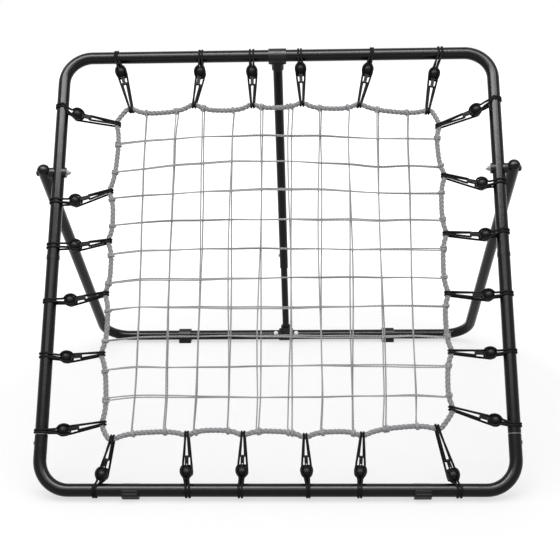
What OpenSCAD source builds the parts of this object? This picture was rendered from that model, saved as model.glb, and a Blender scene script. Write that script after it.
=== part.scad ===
// Pitch back rebounder: a square tube frame that leans back and carries a
// sprung net, a rear U frame that hinges on it, and a telescopic strut that
// sets the angle. Millimetres, +Z up, the net faces -Y, origin on the floor
// under the middle of the whole object.

/* [Front frame] */
// Side of the square front frame, tube centre to tube centre
frame_size = 1013; // [980:1:1040]
// Outside diameter of the frame tubes
tube_d = 28; // [27:0.5:29]
// Wall thickness of the frame tubes
tube_wall = 1.5; // [1:0.1:2.5]
// Centreline bend radius at the corners of the front frame
front_bend = 65; // [55:1:75]
// Lean of the front frame from upright, in degrees
lean = 33; // [30:0.5:36]
// Height of the tube centres above the floor
tube_height = 19; // [19:0.5:24]
// Height of the lower seams, measured up the frame
lower_seam = 118; // [110:1:118]
// How far the middle seams lie above the middle of the frame
seam_rise = 4.5; // [-20:0.5:20]
// Open groove left at each lower seam
seam_groove = 2; // [0.5:0.5:3]
// Length of the swaged bell at each middle seam
bell_length = 9; // [5:1:15]
// How far the bell stands out from the tube
bell_step = 1; // [0.5:0.1:1.5]

/* [Joint sleeves] */
// Length of the sleeves inside the seams
sleeve_length = 80; // [60:5:100]
// Wall thickness of the sleeves
sleeve_wall = 1.5; // [1:0.1:2.5]
// Diameter of the rivets below the lower seams
rivet_d = 5; // [3:0.5:6]
// How far the rivets lie below the seams
rivet_drop = 18; // [12:1:25]

/* [Rear frame] */
// Distance of the pivot from the bottom tube, up the frame
pivot_rise = 721; // [690:1:740]
// Distance from the pivot to the rear tube
leg_length = 803; // [770:1:830]
// Centreline bend radius at the corners of the rear frame
rear_bend = 70; // [55:1:85]
// Gap between the front tubes and the legs beside them
leg_gap = 5.5; // [5:0.5:9]
// How far the legs run on above the pivot, cap included
leg_stub = 23; // [21:1:30]
// Height of the domed leg caps
cap_height = 9; // [7:0.5:10]

/* [Pivot hardware] */
// Diameter of the pivot bolts
bolt_d = 6; // [5:0.5:8]
// Diameter of the large saddle washers
saddle_d = 24; // [20:0.5:25]
// How far the inner saddles stand out from the tube
inner_saddle_step = 4; // [3:0.5:6]
// Diameter of the outer saddle washers
outer_saddle_d = 15; // [13:0.5:18]
// How far the outer saddles stand out from the leg
outer_saddle_step = 2.5; // [2:0.5:4]
// Diameter of the bolt heads
bolt_head_d = 13; // [11:0.5:15]
// Height of the domed bolt heads
bolt_head_height = 3; // [2:0.5:4]
// Width of the lock nuts across their flats
nut_flats = 10; // [10:0.5:13]
// Height of the lock nuts, without their collar
nut_height = 6; // [4:0.5:7]
// Height of the collar on each lock nut
nut_collar = 2; // [1:0.5:3]
// Length of bolt left beyond the nut
bolt_end = 3; // [1:0.5:5]

/* [Strut] */
// Outside diameter of the outer strut tube
strut_outer_d = 23; // [21:0.5:24]
// Wall thickness of the strut tubes
strut_wall = 1.5; // [1:0.1:2]
// Distance from the top tube to the end of the outer strut tube
strut_outer_end = 660; // [640:1:700]
// Length of inner tube held inside the outer tube
strut_nesting = 240; // [225:5:260]
// Distance from the top tube to the lock button
button_place = 617; // [600:1:620]
// Diameter of the lock button
button_d = 9; // [7:0.5:9]
// How far the lock button stands out
button_height = 3; // [2.6:0.1:4]

/* [Tees] */
// Width of the tee sleeves along the tube
tee_width = 42; // [36:1:46]
// Wall thickness of the tee sleeves
tee_wall = 3; // [2.5:0.5:4]
// Distance from the tube centre to the end of the tee skirt
tee_skirt = 17.5; // [17:0.5:22]
// Thickness of the tee skirt, front to back
tee_depth = 20; // [18:1:26]
// Diameter of the tee collar
collar_d = 29; // [27:0.5:32]
// Distance from the tube centre to the end of the collar
collar_end = 37; // [34:1:44]
// Gap between the lower tee and its stop screws
stop_gap = 3; // [1:0.5:8]
// Diameter of the stop screw washers
stop_washer_d = 12.5; // [10:0.5:14]

/* [Feet] */
// Width of the front feet
front_foot_width = 36; // [30:1:42]
// Distance of the front feet from the middle
front_foot_place = 308; // [300:1:320]
// Wall thickness of the front foot clips
front_foot_wall = 3; // [2.5:0.1:4]
// Width of the front foot pads, front to back
front_pad_depth = 14; // [10:1:20]
// Diameter of the ribs on the front feet
foot_rib_d = 2; // [1.5:0.1:2.5]
// Width of the rear feet
rear_foot_width = 35.5; // [30:0.5:42]
// Distance of the rear feet from the middle
rear_foot_place = 303; // [290:1:320]
// Wall thickness of the rear foot clips
rear_foot_wall = 5; // [3:0.5:5.5]
// Depth of the rear foot pads, front to back
rear_pad_depth = 38; // [34:1:44]

/* [Net] */
// Diameter of the border rope
rope_d = 11; // [9:0.5:11]
// Width and depth of each net twine
twine_d = 2.8; // [2:0.1:3]
// Distance between the level net lines, in a frame of the listed size
net_pitch = 66.4; // [62:0.1:67]
// The same between the upright net lines
net_pitch_across = 67.6; // [62:0.1:69]
// How far the upper net lines bow up in the middle
net_rise = 14; // [0:1:18]
// How far the left ends of the level net lines drop
net_droop = 8; // [0:1:12]
// Net lines each way
net_lines = 10; // [8:2:10]
// Sideways offset of the net in the frame
net_offset_x = -3; // [-8:1:8]
// How far the middle of the net lies below the middle of the frame
net_drop = 9.5; // [2:0.5:16]
// Greatest distance that the doubled twines drift apart
twine_drift = 8; // [0:1:10]

/* [Bungees] */
// Diameter of the bungee cord
cord_d = 4; // [3.6:0.2:4.8]
// Diameter of the toggle balls
ball_d = 26; // [24:0.5:26]
// Distance from the ball centre to the end of the toggle stem
stem_length = 36; // [32:1:40]
// Width of the toggle stem
stem_width = 7.4; // [6:0.2:9]
// Thickness of the toggle stem
stem_depth = 5; // [4:0.5:5.5]
// Diameter of the hole in the toggle stem
stem_hole_d = 4; // [2:0.5:5]
// Distance from the ball centre to the hole in the stem
stem_hole_place = 15.4; // [14:0.1:22]
// Length of the crossbar at the end of the stem
crossbar_length = 15; // [14:0.5:16]
// Diameter of the crossbar
crossbar_d = 4.6; // [4:0.2:5]

/* [Hidden] */
$fn = 72;

// Clearances
hinge_clearance = 0.08;   // radial, between a pin or tube and what turns on it
fit_clearance = 0.1;      // radial, between pieces that are fixed together
body_gap = 0.3;           // between faces of pieces that move apart
over = 1;                 // cutters run past the faces that they cut

// Cord and rope rounds
tube_r = tube_d / 2;
cord_r = cord_d / 2;
cord_sides = 6;
rope_sides = 8;
cord_flat = cord_r * cos(180 / cord_sides);
tube_wrap_r = tube_r + cord_flat + 0.95;   // cord centre round a tube
rope_wrap_r = rope_d / 2 + cord_flat + 0.75;
ball_wrap_r = ball_d / 2 + cord_r + 0.8;   // cord centre beside a ball
ball_hook_r = ball_d / 2 + cord_r + 1.5;   // and where it hooks over the ball
strand_offset = cord_r + 0.6;              // half the spacing of a cord's two strands
anchor_offset = 5;                         // the same at the toggle's crossbar
tip_flat = 6;             // half of the rope's straight stretch under a cord
corner_flat = 9;          // the same on the corner side of a side's last cords
scallops_top = [14, 14, 9, 12, 10];   // how far the rope draws in between its tips
scallops_side = [8, 8, 8, 8, 8];
scallops_bottom = [9, 9, 9, 9, 9];

// Linkage, from the sizes above
half = frame_size / 2;
leg_x = half + tube_d + leg_gap;
leg_angle = acos(pivot_rise * cos(lean) / leg_length);
front_reach = tube_wrap_r + cord_flat;
rear_reach = rear_pad_depth / 2;
rear_y = pivot_rise * sin(lean) + leg_length * sin(leg_angle);
origin_y = (rear_y + rear_reach - front_reach) / 2;
bottom_tube = [0, -origin_y, tube_height];
pivot = bottom_tube + pivot_rise * [0, sin(lean), cos(lean)];
top_tube = bottom_tube + frame_size * [0, sin(lean), cos(lean)];
rear_tube = [0, rear_y - origin_y, tube_height];
strut_run = rear_tube - top_tube;
strut_length = norm(strut_run);
strut_angle = atan2(strut_run[1], -strut_run[2]);
strut_stretch = 164;      // how much longer the strut is when folded
button_travel = 2.5;

// Pivot stack, as distances from the middle of the frame
hinge_plane = (half + leg_x) / 2;
inner_saddle_face = half - tube_r - inner_saddle_step;
outer_saddle_face = leg_x + tube_r + outer_saddle_step;
bolt_tip = inner_saddle_face - nut_height - nut_collar - bolt_end;

// What is tied to the frame's size is listed for a frame of this size
listed_size = 1013;
size_ratio = frame_size / listed_size;
middle_seam = half + seam_rise;
net_middle = half - net_drop;
net_spacing = net_pitch * size_ratio;
net_spacing_across = net_pitch_across * size_ratio;

// Bungees of each side: [place of the wrap along the tube, place of the ball
// along the tube, ball's distance in from the tube, place of the rope's tip
// along the tube, tip's distance in from the tube]
function fitted(rows) = [for (row = rows)
    [row[0] * size_ratio, row[1] * size_ratio, row[2], row[3] * size_ratio, row[4] * size_ratio]];
bungees_top = fitted([
    [-384, -372, 37, -344, 135], [-182, -183, 39, -196, 125], [-61, -60, 41, -58, 127],
    [53, 55, 36, 58, 124], [224, 214, 40, 192, 129], [385, 369, 53, 350, 148]]);
bungees_right = fitted([
    [136, 145, 38, 172, 130], [295, 291, 40, 295, 126], [424, 421, 38, 426, 128],
    [568, 561, 37, 565, 126], [686, 683, 39, 704, 124], [891, 866, 43, 827, 132]]);
bungees_bottom = fitted([
    [-384, -371, 32, -352, 109], [-186, -190, 37, -192, 117], [-75, -72, 38, -71, 117],
    [68, 65, 37, 62, 112], [176, 178, 36, 184, 115], [384, 373, 30, 343, 130]]);
bungees_left = fitted([
    [124, 126, 46, 142, 132], [290, 286, 43, 294, 122], [413, 415, 44, 431, 124],
    [542, 543, 47, 554, 125], [649, 651, 42, 674, 122], [886, 867, 35, 841, 132]]);

// A side is [where its tube's axis starts, the way along it, the way in to the net]
front_way = [0, -1, 0];
top_side = [[0, 0, frame_size], [1, 0, 0], [0, 0, -1]];
right_side = [[half, 0, 0], [0, 0, 1], [-1, 0, 0]];
bottom_side = [[0, 0, 0], [1, 0, 0], [0, 0, 1]];
left_side = [[-half, 0, 0], [0, 0, 1], [1, 0, 0]];

frame_grey = [0.19, 0.18, 0.19];
plastic_black = [0.1, 0.1, 0.1];
steel = [0.75, 0.76, 0.78];
rope_grey = [0.63, 0.63, 0.65];

// ---- placing ----

// Puts a piece drawn up the front frame, net facing -Y, into the leaning frame
module on_front_frame() {
    translate(bottom_tube) rotate([-lean, 0, 0]) children();
}

// Puts a piece drawn down from the pivot into the rear frame
module on_rear_frame() {
    translate(pivot) rotate([leg_angle, 0, 0]) children();
}

// Puts a piece drawn down from the top tube along the strut
module on_strut() {
    translate(top_tube) rotate([strut_angle, 0, 0]) children();
}

// Puts a piece drawn about the middle of a pivot's bolt line at both pivots
module at_both_pivots() {
    for (side = [0, 1]) mirror([side, 0, 0]) translate(pivot) children();
}

module along_x(r, from, to) {
    translate([from, 0, 0]) rotate([0, 90, 0]) cylinder(r = r, h = to - from);
}

// A round cap that rises from a circle of radius r to height h
module dome(r, h) {
    ball_r = (r * r + h * h) / (2 * h);
    intersection() {
        translate([0, 0, h - ball_r]) sphere(r = ball_r);
        cylinder(r = r + over, h = h + over);
    }
}

// ---- tubes ----

// A U of round bar: cross bar on the X axis, legs up to rise
module bow_bar(width, bend, d, rise) {
    reach = width / 2 - bend;
    along_x(d / 2, -reach, reach);
    for (side = [0, 1]) mirror([side, 0, 0]) {
        translate([reach, 0, bend]) rotate([90, 0, 0]) rotate([0, 0, -90])
            rotate_extrude(angle = 90) translate([bend, 0]) circle(d = d);
        translate([width / 2, 0, bend]) cylinder(d = d, h = rise - bend);
    }
}

// A tube of the frame's section along Z
module frame_tube(from, to) {
    translate([0, 0, from]) difference() {
        cylinder(d = tube_d, h = to - from);
        translate([0, 0, -over]) cylinder(d = tube_d - 2 * tube_wall, h = to - from + 2 * over);
    }
}

module rivet_hole() {
    translate([half, 0, lower_seam - rivet_drop])
        along_x(rivet_d / 2 + fit_clearance, 0, tube_r + over);
}

module front_bottom_bow() {
    color(frame_grey) on_front_frame() difference() {
        bow_bar(frame_size, front_bend, tube_d, lower_seam - seam_groove / 2);
        bow_bar(frame_size, front_bend, tube_d - 2 * tube_wall, lower_seam + over);
        for (side = [0, 1]) mirror([side, 0, 0]) rivet_hole();
    }
}

module front_top_bow() {
    rise = frame_size - middle_seam;
    color(frame_grey) on_front_frame() difference() {
        union() {
            translate([0, 0, frame_size]) mirror([0, 0, 1])
                bow_bar(frame_size, front_bend, tube_d, rise);
            for (x = [-half, half]) translate([x, 0, middle_seam])
                cylinder(d = tube_d + 2 * bell_step, h = bell_length);
        }
        translate([0, 0, frame_size]) mirror([0, 0, 1])
            bow_bar(frame_size, front_bend, tube_d - 2 * tube_wall, rise + over);
        translate([0, 0, pivot_rise])
            along_x(bolt_d / 2 + hinge_clearance, -leg_x, leg_x);
    }
}

module front_side_tube(side) {
    color(frame_grey) on_front_frame() translate([side * half, 0, 0])
        frame_tube(lower_seam + seam_groove / 2, middle_seam);
}

module joint_sleeves() {
    sleeve_r = tube_r - tube_wall - fit_clearance;
    color(steel) on_front_frame()
        for (x = [-half, half], z = [lower_seam, middle_seam])
            translate([x, 0, z - sleeve_length / 2]) difference() {
                cylinder(r = sleeve_r, h = sleeve_length);
                translate([0, 0, -over])
                    cylinder(r = sleeve_r - sleeve_wall, h = sleeve_length + 2 * over);
                if (z == lower_seam)
                    translate([-x, 0, sleeve_length / 2 - z])
                        mirror([x < 0 ? 1 : 0, 0, 0]) rivet_hole();
            }
}

module sleeve_rivets() {
    head_r = rivet_d / 2 + 1.5;
    head_height = 1.2;
    color(steel) on_front_frame() for (side = [0, 1]) mirror([side, 0, 0])
        translate([half, 0, lower_seam - rivet_drop]) {
            along_x(rivet_d / 2, tube_r - tube_wall - sleeve_wall - 2, tube_r + fit_clearance);
            along_x(head_r, tube_r + fit_clearance, tube_r + fit_clearance + head_height);
        }
}

module rear_bow() {
    stub = leg_stub - cap_height;
    color(frame_grey) on_rear_frame() difference() {
        translate([0, 0, -leg_length]) bow_bar(2 * leg_x, rear_bend, tube_d, leg_length + stub);
        translate([0, 0, -leg_length])
            bow_bar(2 * leg_x, rear_bend, tube_d - 2 * tube_wall, leg_length + stub + over);
        for (side = [0, 1]) mirror([side, 0, 0])
            along_x(bolt_d / 2 + hinge_clearance, leg_x - tube_d, leg_x + tube_d);
        translate([0, 0, -leg_length]) for (x = stop_screw_places())
            translate([x, 0, 0]) rotate([stop_screw_tilt, 0, 0])
                cylinder(d = stop_screw_d + 2 * fit_clearance, h = tube_d);
    }
}

// ---- caps and feet ----

module leg_cap(side) {
    stub = leg_stub - cap_height;
    plug_r = tube_r - tube_wall - fit_clearance;
    plug_depth = 8;
    color(frame_grey) on_rear_frame() translate([side * leg_x, 0, stub]) {
        dome(tube_r, cap_height);
        translate([0, 0, -plug_depth]) cylinder(r = plug_r, h = plug_depth);
    }
}

// Front foot: an open clip with three ribs and a rounded pad under the tube
module front_foot(side) {
    clip_r = tube_r + front_foot_wall;
    mouth = 62;           // half of the clip's open angle at the top
    color(plastic_black) translate(bottom_tube)
        translate([side * front_foot_place - front_foot_width / 2, 0, 0]) {
            rotate([90, 0, 90]) linear_extrude(front_foot_width) difference() {
                union() {
                    circle(r = clip_r);
                    translate([-front_pad_depth / 2, -tube_height])
                        square([front_pad_depth, tube_height]);
                }
                circle(r = tube_r + fit_clearance);
                polygon([[0, 0], 2 * clip_r * [-sin(mouth), cos(mouth)],
                         [0, 2 * clip_r], 2 * clip_r * [sin(mouth), cos(mouth)]]);
                for (y = [-1, 1]) translate([y * front_pad_depth / 2, -tube_height])
                    circle(d = 3);
            }
            for (a = [-24, 0, 24]) rotate([-a, 0, 0]) translate([0, -clip_r, 0])
                along_x(foot_rib_d / 2, 3, front_foot_width - 3);
        }
}

// Rear foot: a thicker clip, slit at the back, on a flat slab
module rear_foot(side) {
    clip_r = tube_r + rear_foot_wall;
    slab = 10;
    color(plastic_black) translate(rear_tube)
        translate([side * rear_foot_place - rear_foot_width / 2, 0, 0])
            rotate([90, 0, 90]) linear_extrude(rear_foot_width) difference() {
                union() {
                    circle(r = clip_r);
                    translate([-rear_pad_depth / 2, -tube_height])
                        square([rear_pad_depth, slab]);
                    translate([-clip_r, -tube_height]) square([2 * clip_r, tube_height]);
                }
                circle(r = tube_r + fit_clearance);
                translate([0, -1]) square([2 * clip_r, 2]);
            }
}

// ---- pivot hardware ----

// A round washer about the bolt line, cut to the tube at tube_x
module saddle(d, from, to, tube_x, tilt) {
    difference() {
        along_x(d / 2, from, to);
        along_x(bolt_d / 2 + hinge_clearance, from - over, to + over);
        rotate([tilt, 0, 0]) translate([tube_x, 0, -saddle_d])
            cylinder(r = tube_r + fit_clearance, h = 2 * saddle_d);
    }
}

module inner_saddles() {
    color(plastic_black) at_both_pivots()
        saddle(saddle_d, inner_saddle_face, half - tube_r / 2, half, -lean);
}

module frame_saddles() {
    color(plastic_black) at_both_pivots()
        saddle(saddle_d, half + tube_r / 3, hinge_plane - body_gap / 2, half, -lean);
}

module leg_saddles() {
    color(plastic_black) at_both_pivots()
        saddle(saddle_d, hinge_plane + body_gap / 2, leg_x - tube_r / 3, leg_x, leg_angle);
}

module outer_saddles() {
    color(plastic_black) at_both_pivots()
        saddle(outer_saddle_d, leg_x + tube_r / 2, outer_saddle_face, leg_x, leg_angle);
}

module pivot_bolts() {
    head_face = outer_saddle_face + body_gap;
    color(steel) at_both_pivots() {
        along_x(bolt_d / 2, bolt_tip, head_face);
        translate([head_face, 0, 0]) rotate([0, 90, 0]) dome(bolt_head_d / 2, bolt_head_height);
    }
}

module lock_nuts() {
    nut_face = inner_saddle_face - body_gap / 2;
    collar_face = nut_face - nut_height;
    color(steel) at_both_pivots() difference() {
        union() {
            translate([collar_face, 0, 0]) rotate([0, 90, 0])
                cylinder(d = nut_flats / cos(30), h = nut_height, $fn = 6);
            along_x(nut_flats / 2 - 0.6, collar_face - nut_collar, nut_face - over);
        }
        along_x(bolt_d / 2 + fit_clearance / 2, collar_face - nut_collar - over, nut_face + over);
    }
}

// ---- strut ----

stop_screw_d = 5;
stop_screw_tilt = 90 - 40 - leg_angle;   // 40 degrees above level, seen from the front

function stop_screw_places() =
    let (place = tee_width / 2 + stop_gap + stop_washer_d / 2) [-place, place];

module tee_stop_screws() {
    head_d = 9;
    washer_height = 1;
    head_height = 3;
    seat = tube_r + fit_clearance / 2;
    color(steel) on_rear_frame() translate([0, 0, -leg_length])
        for (x = stop_screw_places()) translate([x, 0, 0]) rotate([stop_screw_tilt, 0, 0]) {
            translate([0, 0, tube_r - 6]) cylinder(d = stop_screw_d, h = seat - tube_r + 6);
            translate([0, 0, seat]) cylinder(d = stop_washer_d, h = washer_height);
            translate([0, 0, seat + washer_height]) cylinder(d = head_d, h = head_height);
        }
}

// A tee: a sleeve that turns on a tube, with a skirt and a collar down -Z
module tee_body() {
    sleeve_r = tube_r + tee_wall;
    skirt_step = 2.5;
    collar_step = 2.5;
    difference() {
        union() {
            along_x(sleeve_r, -tee_width / 2, tee_width / 2);
            translate([0, tee_depth / 2, 0]) rotate([90, 0, 0]) linear_extrude(tee_depth)
                polygon([[-tee_width / 2, 0], [-tee_width / 2, skirt_step - tee_skirt],
                         [skirt_step - tee_width / 2, -tee_skirt],
                         [tee_width / 2 - skirt_step, -tee_skirt],
                         [tee_width / 2, skirt_step - tee_skirt], [tee_width / 2, 0]]);
            translate([0, 0, collar_step - collar_end])
                cylinder(d = collar_d, h = collar_end - collar_step);
            translate([0, 0, -collar_end])
                cylinder(d1 = collar_d - 2 * collar_step, d2 = collar_d, h = collar_step);
        }
        along_x(tube_r + hinge_clearance, -tee_width, tee_width);
    }
}

strut_top = tube_r + hinge_clearance + 2;

module upper_tee() {
    color(plastic_black) on_strut() difference() {
        tee_body();
        translate([0, 0, -collar_end - over])
            cylinder(d = strut_outer_d + 2 * fit_clearance, h = collar_end + over - strut_top);
    }
}

module strut_outer_tube() {
    length = strut_outer_end - strut_top - body_gap;
    color(frame_grey) on_strut() difference() {
        translate([0, 0, -strut_outer_end]) cylinder(d = strut_outer_d, h = length);
        translate([0, 0, -strut_outer_end - over])
            cylinder(d = strut_outer_d - 2 * strut_wall, h = length + 2 * over);
        translate([0, 0, -button_place])
            along_x(button_d / 2 + hinge_clearance, -strut_outer_d, 0);
    }
}

inner_tube_gap = 0.5;     // radial, between the two strut tubes
strut_inner_r = strut_outer_d / 2 - strut_wall - inner_tube_gap;
strut_inner_top = strut_outer_end - strut_nesting;
strut_inner_end = strut_length - collar_end - body_gap;

module strut_inner_tube() {
    length = strut_inner_end - strut_inner_top;
    slot_r = button_d / 2 + body_gap;
    color(frame_grey) on_strut() difference() {
        translate([0, 0, -strut_inner_end]) cylinder(r = strut_inner_r, h = length);
        translate([0, 0, -strut_inner_end - over])
            cylinder(r = strut_inner_r - strut_wall, h = length + 2 * over);
        for (z = [button_place, button_place - strut_stretch]) translate([0, 0, -z])
            along_x(slot_r, -strut_outer_d, 0);
        translate([-strut_outer_d, -slot_r, -button_place])
            cube([strut_outer_d, 2 * slot_r, strut_stretch]);
    }
}

module lower_tee() {
    color(plastic_black) translate(rear_tube) rotate([strut_angle, 0, 0]) rotate([180, 0, 0])
        tee_body();
}

button_back = -strut_inner_r + strut_wall + 2;

module lock_button() {
    face = -strut_outer_d / 2 - button_height;
    edge = 1;
    color(steel) on_strut() translate([0, 0, -button_place]) rotate([0, 90, 0]) {
        translate([0, 0, face + edge]) cylinder(d = button_d, h = button_back - face - edge);
        translate([0, 0, face]) cylinder(d1 = button_d - 2 * edge, d2 = button_d, h = edge);
    }
}

// A leaf spring folded to a V inside the inner tube, drawn with the button pressed
module button_spring() {
    strip = 0.8;
    width = 6;
    drop = 34;
    back = strut_inner_r - strut_wall - 1;
    front = button_back + button_travel + body_gap;
    color(steel) on_strut() translate([0, width / 2, -button_place + 4])
        rotate([90, 0, 0]) linear_extrude(width)
            polygon([[front, 0], [front + strip, 0], [front + strip, -8],
                     [back - 2 * strip, -drop], [back - strip, -8], [back - strip, 0], [back, 0],
                     [back, -drop - 3], [back - 3 * strip, -drop - 3], [front, -8]]);
}

// ---- net ----

// A closed side's rope: distance in from the tube at a place between its tips
function scallop(u, depth) = depth * (1 - pow(abs(2 * u - 1), 3));
function rope_in(rows, k, a, depths) =
    let (from = rows[k], to = rows[k + 1], u = (a - from[3]) / (to[3] - from[3]),
         v = (a - from[3] - tip_flat) / (to[3] - from[3] - 2 * tip_flat))
    from[4] + (to[4] - from[4]) * u + scallop(max(0, min(1, v)), depths[k]);
function rope_at(rows, a, depths) =
    let (k = [for (i = [0:4]) if (a >= rows[i][3] && a <= rows[i + 1][3]) i])
    rope_in(rows, k[0], a, depths);
function rope_steps(rows, k) =
    let (from = rows[k][3] + tip_flat, to = rows[k + 1][3] - tip_flat)
    [for (u = [0, 0.16, 0.36, 0.64, 0.84, 1]) from + (to - from) * u];
function rope_side(side, rows, depths) =
    let (first = rows[0], last = rows[5])
    [for (p = concat([[first[3] - corner_flat, first[4]]],
                     [for (k = [0:4], a = rope_steps(rows, k)) [a, rope_in(rows, k, a, depths)]],
                     [[last[3] + corner_flat, last[4]]]))
        side[0] + side[1] * p[0] + side[2] * p[1]];
function reversed(points) = [for (i = [len(points) - 1:-1:0]) points[i]];

rope_path = concat(rope_side(bottom_side, bungees_bottom, scallops_bottom),
                   rope_side(right_side, bungees_right, scallops_side),
                   reversed(rope_side(top_side, bungees_top, scallops_top)),
                   reversed(rope_side(left_side, bungees_left, scallops_side)));

function unit(v) = v / norm(v);

module net_border_rope() {
    count = len(rope_path);
    rings = [for (i = [0:count - 1])
        let (way = unit(rope_path[(i + 1) % count] - rope_path[(i + count - 1) % count]),
             side = cross(way, front_way))
        [for (k = [0:rope_sides - 1])
            rope_path[i] + rope_d / 2 * (cos(360 * k / rope_sides) * side
                                         + sin(360 * k / rope_sides) * front_way)]];
    color(rope_grey) on_front_frame() polyhedron(
        points = [for (ring = rings, p = ring) p],
        faces = [for (i = [0:count - 1], k = [0:rope_sides - 1])
            let (j = (i + 1) % count, l = (k + 1) % rope_sides,
                 a = i * rope_sides + k, b = i * rope_sides + l,
                 c = j * rope_sides + l, d = j * rope_sides + k)
            for (face = [[a, b, c], [a, c, d]]) face]);
}

// Where net lines i and j cross in one layer: -1 front, 1 rear
function net_cross(i, j, layer) =
    let (middle = (net_lines - 1) / 2,
         rise = net_rise * max(0, min(1, (j - middle) / 3))
                * max(0, 1 - pow((i - middle + 0.5) / (middle - 0.5), 2)),
         apart_x = layer * twine_drift / 4 * (1 + sin(97 * i + 61 * j)),
         apart_z = layer * twine_drift / 4 * (1 + cos(83 * j + 53 * i)))
    [net_offset_x + (i - middle) * net_spacing_across + apart_x
         + 1.5 * sin(140 * i + 35 * j),
     net_middle + (j - middle) * net_spacing + rise + apart_z
         + 1.5 * cos(120 * j + 40 * i)];

// Outline of one layer: round every line's end, where it goes into the rope
sunk = 2.5;
function line_end_top(x) = frame_size - rope_at(bungees_top, x, scallops_top) - rope_d / 2 + sunk;
function line_end_bottom(x) = rope_at(bungees_bottom, x, scallops_bottom) + rope_d / 2 - sunk;
function line_end_right(z) = half - rope_at(bungees_right, z, scallops_side) - rope_d / 2 + sunk;
function line_end_left(z) = rope_at(bungees_left, z, scallops_side) - half + rope_d / 2 - sunk;
function net_outline(layer) =
    let (w = twine_d / 2, n = net_lines - 1)
    concat(
        [for (i = [0:n]) let (p = net_cross(i, 0, layer), e = line_end_bottom(p[0]))
            for (q = [[p[0] - w, p[1] - w], [p[0] - w, e], [p[0] + w, e], [p[0] + w, p[1] - w]]) q],
        [for (j = [0:n]) let (p = net_cross(n, j, layer), e = line_end_right(p[1]))
            for (q = [[p[0] + w, p[1] - w], [e, p[1] - w], [e, p[1] + w], [p[0] + w, p[1] + w]])
                if (!(j == 0 && q == [p[0] + w, p[1] - w])) q],
        [for (i = [n:-1:0]) let (p = net_cross(i, n, layer), e = line_end_top(p[0]))
            for (q = [[p[0] + w, p[1] + w], [p[0] + w, e], [p[0] - w, e], [p[0] - w, p[1] + w]])
                if (!(i == n && q == [p[0] + w, p[1] + w])) q],
        [for (j = [n:-1:0]) let (p = net_cross(0, j, layer), z = p[1] - net_droop,
                                 e = line_end_left(z))
            for (q = [[p[0] - w, p[1] + w], [e, z + w], [e, z - w], [p[0] - w, p[1] - w]])
                if (!(j == n && q == [p[0] - w, p[1] + w]) && !(j == 0 && q == [p[0] - w, p[1] - w])) q]);
function net_cell(i, j, layer) =
    let (w = twine_d / 2, a = net_cross(i, j, layer), b = net_cross(i + 1, j, layer),
         c = net_cross(i + 1, j + 1, layer), d = net_cross(i, j + 1, layer))
    [[a[0] + w, a[1] + w], [b[0] - w, b[1] + w], [c[0] - w, c[1] - w], [d[0] + w, d[1] - w]];

module net_layer(layer) {
    outline = net_outline(layer);
    cells = [for (i = [0:net_lines - 2], j = [0:net_lines - 2]) net_cell(i, j, layer)];
    step = body_gap / 2;
    color(rope_grey) on_front_frame()
        translate([0, layer > 0 ? step + twine_d : -step, 0])
            rotate([90, 0, 0]) linear_extrude(twine_d)
                polygon(points = concat(outline, [for (cell = cells, p = cell) p]),
                        paths = concat([[for (i = [0:len(outline) - 1]) i]],
                                       [for (c = [0:len(cells) - 1])
                                           [for (k = [0:3]) len(outline) + 4 * c + k]]));
}

// ---- bungees ----

// The centre points of half of a bungee, s = 1 or -1, from the toggle's
// crossbar round the rope, back past the ball, round the tube and forward
// again over the ball to the hook behind the stem; each with the way that its
// section faces
function bungee_half(side, row, s) =
    let (along = side[1], inward = side[2],
         ball = side[0] + along * row[1] + inward * row[2],
         tip = side[0] + along * row[3] + inward * row[4],
         tube = side[0] + along * row[0],
         out = unit(tip - ball), wide = cross(front_way, out),
         tube_wide = along * sign(wide * along),
         past = function (e, w, n, r) ball + r * unit([e, w, n]) * [out, s * wide, front_way])
    concat(
        [[ball + out * (stem_length + body_gap) + wide * s * anchor_offset, wide]],
        [for (a = [90:-45:-90])
            [tip + tube_wide * s * strand_offset
             + rope_wrap_r * (cos(a) * inward + sin(a) * front_way), tube_wide]],
        [[past(-2, 9.5, -12.3, ball_wrap_r), wide]],
        [for (a = [-90:-30:-300])
            [tube + tube_wide * s * strand_offset
             + tube_wrap_r * (cos(a) * inward + sin(a) * front_way), tube_wide]],
        [[past(-9.5, 5.5, 11, ball_hook_r), wide], [past(0, 9, 12.9, ball_hook_r), wide],
         [past(9, 9.8, 8.5, ball_hook_r), wide], [past(13.2, 8.2, 1, ball_hook_r), wide],
         [past(14.6, 6, -5, ball_hook_r), wide], [past(15.6, 0, -6, ball_hook_r), s * out]]);

function bungee_ring(path, i, s, wide) =
    let (last = len(path) - 1,
         way = i == last ? -s * wide
             : unit(path[i + 1][0] - path[max(0, i - 1)][0]),
         face = unit(path[i][1] - (path[i][1] * way) * way),
         up = cross(way, face))
    [for (k = [0:cord_sides - 1])
        let (a = 360 * k / cord_sides)
        path[i][0] + cord_r * (s * cos(a) * face + sin(a) * up)];

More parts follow.
